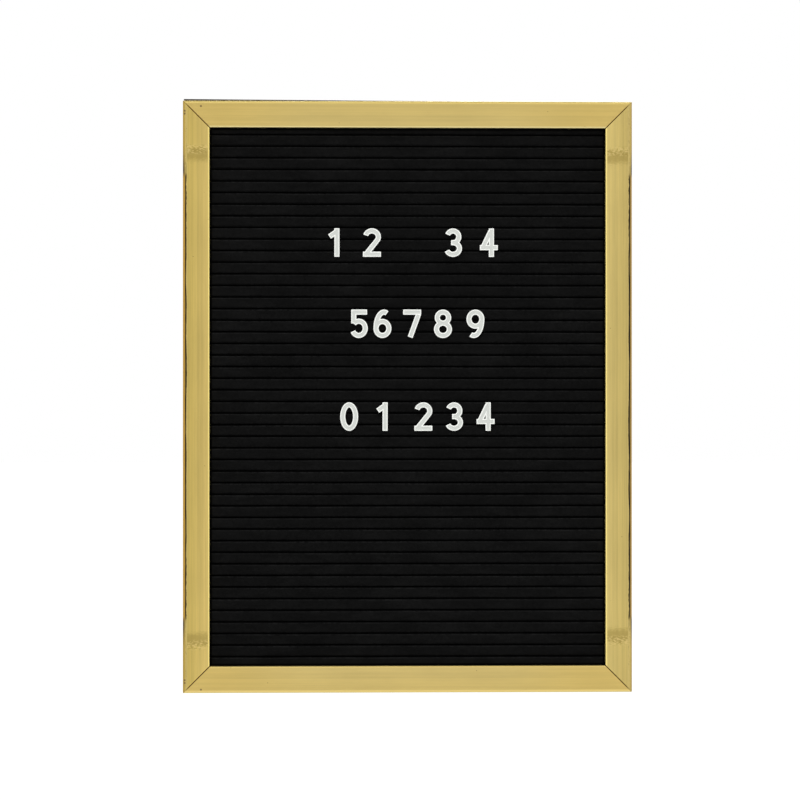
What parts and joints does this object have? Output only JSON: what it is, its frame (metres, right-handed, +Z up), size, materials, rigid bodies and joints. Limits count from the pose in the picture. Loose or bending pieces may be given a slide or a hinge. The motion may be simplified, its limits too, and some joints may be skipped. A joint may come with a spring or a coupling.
{
  "type": "felt letter board",
  "caption": "Wall-hung felt letter board: mitred gold frame round a grooved black felt panel with loose white plastic numerals, a backing board and a sawtooth hanger.",
  "frame": {"origin": "the point where a wall nail bears in the middle tooth of the sawtooth hanger, on the plane of the wall", "axes": "+Z up the board, +X to the right as the front is seen, +Y into the wall, so the front faces -Y"},
  "size_m": [0.304, 0.0181, 0.4021],
  "materials": {
    "gold_foil": "moulding wrapped in satin gold foil with fine lengthwise streaks",
    "black_felt": "matte black felt",
    "core_board": "raw grooved fibreboard",
    "backing_board": "dark thin hardboard",
    "white_plastic": "satin white moulded plastic",
    "zinc_steel": "bright zinc plated"
  },
  "bodies": {
    "root": {"rail_top": "gold_foil", "rail_bottom": "gold_foil", "rail_left": "gold_foil", "rail_right": "gold_foil", "felt_sheet": "black_felt", "core_board": "core_board", "back_board": "backing_board", "row1_numeral_1": "white_plastic", "row1_numeral_2": "white_plastic", "row1_numeral_3": "white_plastic", "row1_numeral_4": "white_plastic", "row2_numeral_1": "white_plastic", "row2_numeral_2": "white_plastic", "row2_numeral_3": "white_plastic", "row2_numeral_4": "white_plastic", "row2_numeral_5": "white_plastic", "row3_numeral_1": "white_plastic", "row3_numeral_2": "white_plastic", "row3_numeral_3": "white_plastic", "row3_numeral_4": "white_plastic", "row3_numeral_5": "white_plastic", "back_screw_1": "zinc_steel", "back_screw_2": "zinc_steel", "back_screw_3": "zinc_steel", "back_screw_4": "zinc_steel", "back_screw_5": "zinc_steel", "back_screw_6": "zinc_steel", "back_screw_7": "zinc_steel", "back_screw_8": "zinc_steel", "back_screw_9": "zinc_steel", "back_screw_10": "zinc_steel", "hanger_nail_left": "zinc_steel", "hanger_nail_right": "zinc_steel", "sawtooth_hanger": "zinc_steel", "v_nail_top_left": "zinc_steel", "v_nail_top_right": "zinc_steel", "v_nail_bottom_left": "zinc_steel", "v_nail_bottom_right": "zinc_steel"}
  },
  "joints": []
}
